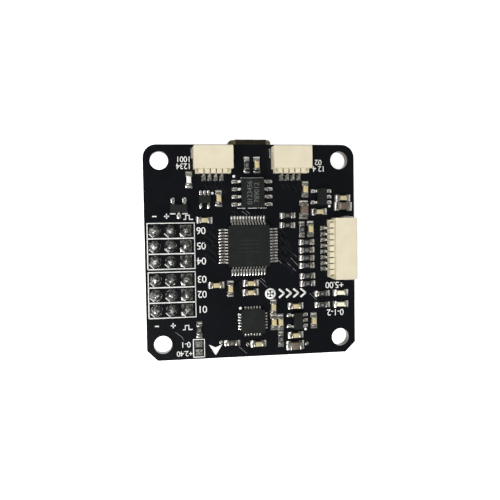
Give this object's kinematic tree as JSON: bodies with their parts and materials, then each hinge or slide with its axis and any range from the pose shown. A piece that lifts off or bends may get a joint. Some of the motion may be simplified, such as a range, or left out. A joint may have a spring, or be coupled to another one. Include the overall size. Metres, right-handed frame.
{
  "type": "flight controller board",
  "caption": "Square flight controller board with a processor, motion sensor, side-entry ports, underside USB socket and downward servo pin headers.",
  "frame": {"origin": "centre of the four mounting holes, on the board's underside", "axes": "+Z out of the populated side; +Y towards the USB socket's edge; +X towards the receiver port's edge"},
  "size_m": [0.0358, 0.0369, 0.0131],
  "materials": {
    "solder_mask": "glossy",
    "port_plastic": "satin",
    "port_metal": "tinned",
    "header_plastic": "satin",
    "pin_metal": "gold plated",
    "solder": "bright, uneven",
    "usb_metal": "darkened nickel",
    "usb_plastic": "matt",
    "chip_plastic": "matt",
    "lead_metal": "tinned",
    "capacitor_ceramic": "matt",
    "large_ceramic": "matt",
    "end_metal": "tinned",
    "resistor_ceramic": "glazed",
    "fuse_ceramic": "matt",
    "light_base": "satin",
    "light_lens": "clear resin",
    "crystal_ceramic": "matt",
    "crystal_metal": "nickel",
    "pad_metal": "tinned"
  },
  "bodies": {
    "root": {"circuit_board": "solder_mask", "main_port_housing": "port_plastic", "main_port_contacts": "port_metal", "main_port_solder_tabs": "port_metal", "second_port_housing": "port_plastic", "second_port_contacts": "port_metal", "second_port_solder_tabs": "port_metal", "receiver_port_housing": "port_plastic", "receiver_port_contacts": "port_metal", "receiver_port_solder_tabs": "port_metal", "servo_header_bases": "header_plastic", "servo_header_pins": "pin_metal", "servo_header_solder": "solder", "usb_shell": "usb_metal", "usb_insulator": "usb_plastic", "usb_contacts": "pin_metal", "processor_body": "chip_plastic", "processor_leads": "lead_metal", "memory_body": "chip_plastic", "memory_leads": "lead_metal", "motion_sensor_body": "chip_plastic", "motion_sensor_pads": "lead_metal", "main_regulator_body": "chip_plastic", "main_regulator_leads": "lead_metal", "sensor_regulator_body": "chip_plastic", "sensor_regulator_leads": "lead_metal", "transistor_body": "chip_plastic", "transistor_leads": "lead_metal", "logic_gate_body": "chip_plastic", "logic_gate_leads": "lead_metal", "small_capacitor_bodies": "capacitor_ceramic", "small_capacitor_caps": "end_metal", "large_capacitor_bodies": "large_ceramic", "large_capacitor_caps": "end_metal", "resistor_bodies": "resistor_ceramic", "resistor_caps": "end_metal", "input_fuse_bodies": "fuse_ceramic", "input_fuse_caps": "end_metal", "load_capacitor_bodies": "capacitor_ceramic", "load_capacitor_caps": "end_metal", "power_light_bodies": "light_base", "power_light_caps": "end_metal", "status_light_bodies": "light_base", "status_light_caps": "end_metal", "power_light_lens": "light_lens", "status_light_lens": "light_lens", "crystal_base": "crystal_ceramic", "crystal_lid": "crystal_metal", "boot_pads": "pad_metal"}
  },
  "joints": []
}
